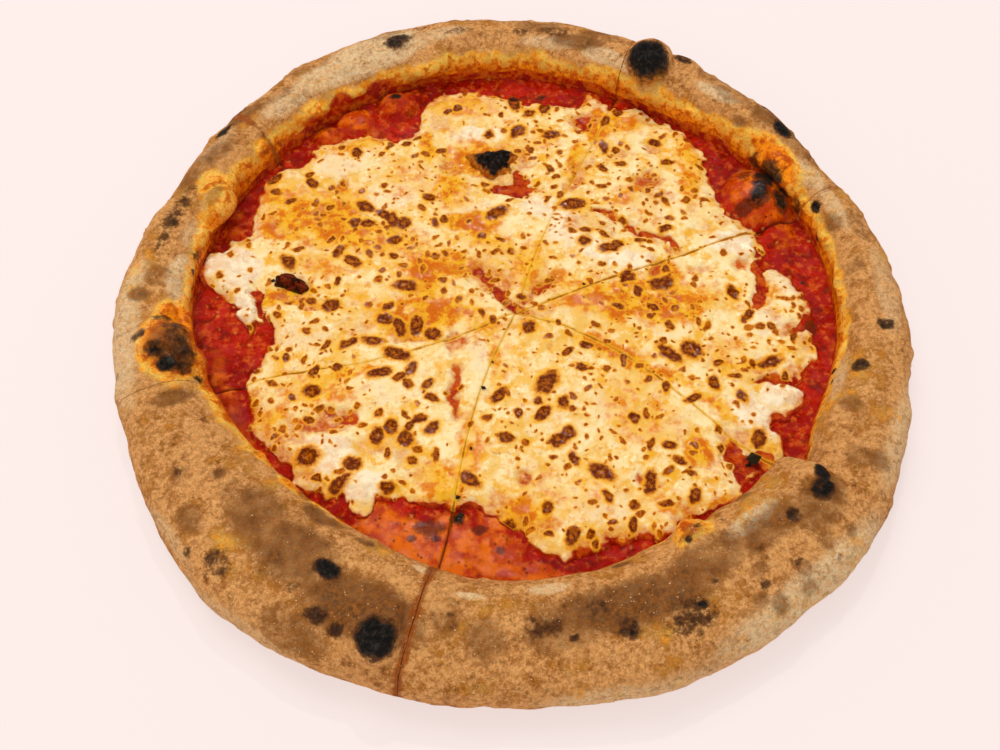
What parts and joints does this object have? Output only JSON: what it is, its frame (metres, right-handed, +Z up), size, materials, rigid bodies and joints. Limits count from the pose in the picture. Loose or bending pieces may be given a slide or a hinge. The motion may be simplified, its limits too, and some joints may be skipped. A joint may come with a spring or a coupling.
{
  "type": "margherita pizza",
  "caption": "Round baked margherita pizza with a high puffed rim, tomato sauce and browned melted mozzarella, cut into slices that still lie together.",
  "frame": {"origin": "middle of the rim's outline, on the flat underside", "axes": "+Z up out of the toppings; -Y towards the widest stretch of rim, where the viewer sits"},
  "size_m": [0.3182, 0.3261, 0.0317],
  "materials": {
    "crust": "dry baked dough, golden to brown with scorched spots and flour",
    "sauce": "wet cooked tomato",
    "cheese": "oily melted mozzarella with browned blisters",
    "char": "burnt, nearly black"
  },
  "bodies": {
    "root": {"dough_slice_1": "crust", "sauce_slice_1": "sauce", "cheese_slice_1": "cheese", "dough_slice_2": "crust", "sauce_slice_2": "sauce", "cheese_slice_2": "cheese", "dough_slice_3": "crust", "sauce_slice_3": "sauce", "cheese_slice_3": "cheese", "dough_slice_4": "crust", "sauce_slice_4": "sauce", "cheese_slice_4": "cheese", "dough_slice_5": "crust", "sauce_slice_5": "sauce", "cheese_slice_5": "cheese", "dough_slice_6": "crust", "sauce_slice_6": "sauce", "cheese_slice_6": "cheese", "burnt_bubble": "char", "basil_leaf": "char"}
  },
  "joints": []
}
